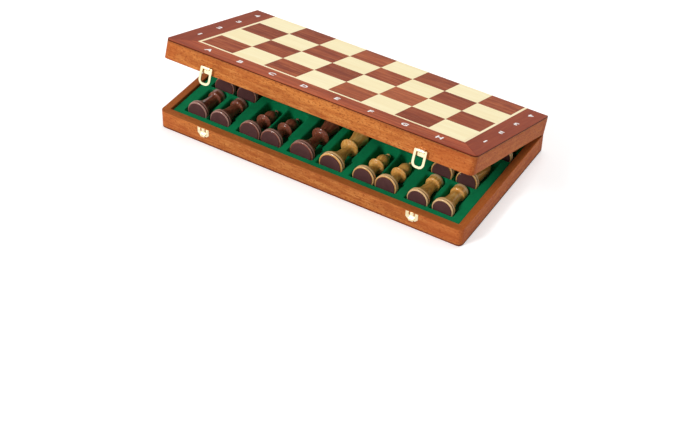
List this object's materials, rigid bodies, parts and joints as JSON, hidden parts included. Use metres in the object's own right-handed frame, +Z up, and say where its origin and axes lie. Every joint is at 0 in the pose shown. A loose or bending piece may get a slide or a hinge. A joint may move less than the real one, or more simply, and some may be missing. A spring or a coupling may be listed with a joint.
{
  "type": "folding chess case with hinged lid",
  "caption": "Folding wooden chess case, lid ajar on brass hinges, board veneered on both outer faces, loop catches, and a green flocked insert holding the turned men",
  "frame": {"origin": "centre of the underside of the lower half, on the face it stands on", "axes": "+X along the hinge to the right seen from the catches, +Y from the catches at the front to the hinges at the back, +Z up"},
  "size_m": [0.376, 0.1981, 0.107],
  "materials": {
    "border_veneer": "mahogany veneer, satin lacquer",
    "dark_veneer": "mahogany veneer, satin lacquer",
    "light_veneer": "maple veneer, satin lacquer",
    "stringing": "maple stringing, satin lacquer",
    "core_wood": "plywood core with a stained edge",
    "rail_wood": "mahogany rails, satin lacquer",
    "green_velour": "flocked velour face over a moulded insert",
    "green_lining": "green lining cloth",
    "plum_felt": "felt discs",
    "dark_men": "walnut-stained, gloss lacquer",
    "light_men": "natural hornbeam, gloss lacquer",
    "brass": "polished"
  },
  "bodies": {
    "base": {"base_panel": "core_wood", "base_border": "border_veneer", "base_stringing": "stringing", "base_dark_squares": "dark_veneer", "base_light_squares": "light_veneer", "base_front_rail": "rail_wood", "base_back_rail": "rail_wood", "base_left_rail": "rail_wood", "base_right_rail": "rail_wood", "insert": "green_velour", "hinge_left_lower_leaf": "brass", "hinge_left_pin": "brass", "hinge_right_lower_leaf": "brass", "hinge_right_pin": "brass", "base_hinge_screws": "brass", "catch_left_hook": "brass", "catch_right_hook": "brass", "hook_nails": "brass", "dark_king": "dark_men", "dark_queen": "dark_men", "dark_bishop_outer": "dark_men", "dark_bishop_inner": "dark_men", "dark_knight_outer": "dark_men", "dark_knight_inner": "dark_men", "dark_rook_outer": "dark_men", "dark_rook_inner": "dark_men", "dark_pawns_feet_back": "dark_men", "dark_pawns_feet_front": "dark_men", "dark_men_felts": "plum_felt", "light_king": "light_men", "light_queen": "light_men", "light_bishop_outer": "light_men", "light_bishop_inner": "light_men", "light_knight_outer": "light_men", "light_knight_inner": "light_men", "light_rook_outer": "light_men", "light_rook_inner": "light_men", "light_pawns_feet_back": "light_men", "light_pawns_feet_front": "light_men", "light_men_felts": "plum_felt"},
    "lid": {"lid_panel": "core_wood", "lid_border": "border_veneer", "lid_stringing": "stringing", "lid_dark_squares": "dark_veneer", "lid_light_squares": "light_veneer", "lid_front_rail": "rail_wood", "lid_back_rail": "rail_wood", "lid_left_rail": "rail_wood", "lid_right_rail": "rail_wood", "lid_lining": "green_lining", "lid_hinge_screws": "brass", "hinge_left_upper_leaf": "brass", "hinge_right_upper_leaf": "brass", "catch_left_plate": "brass", "catch_right_plate": "brass", "plate_nails": "brass"},
    "catch_left_loop": {"catch_left_loop": "brass"},
    "catch_right_loop": {"catch_right_loop": "brass"}
  },
  "joints": [
    {"name": "lid_hinge", "type": "hinge", "parent": "base", "child": "lid", "pos_m": [0, 0.09415, 0.022], "axis": [-1, 0, 0], "range_deg": [-20, 160]},
    {"name": "catch_left_pivot", "type": "hinge", "parent": "lid", "child": "catch_left_loop", "pos_m": [-0.13, -0.083, 0.09446], "axis": [-1, 0, 0], "range_deg": [-0.5, 110]},
    {"name": "catch_right_pivot", "type": "hinge", "parent": "lid", "child": "catch_right_loop", "pos_m": [0.13, -0.083, 0.09446], "axis": [-1, 0, 0], "range_deg": [-0.5, 110]}
  ]
}
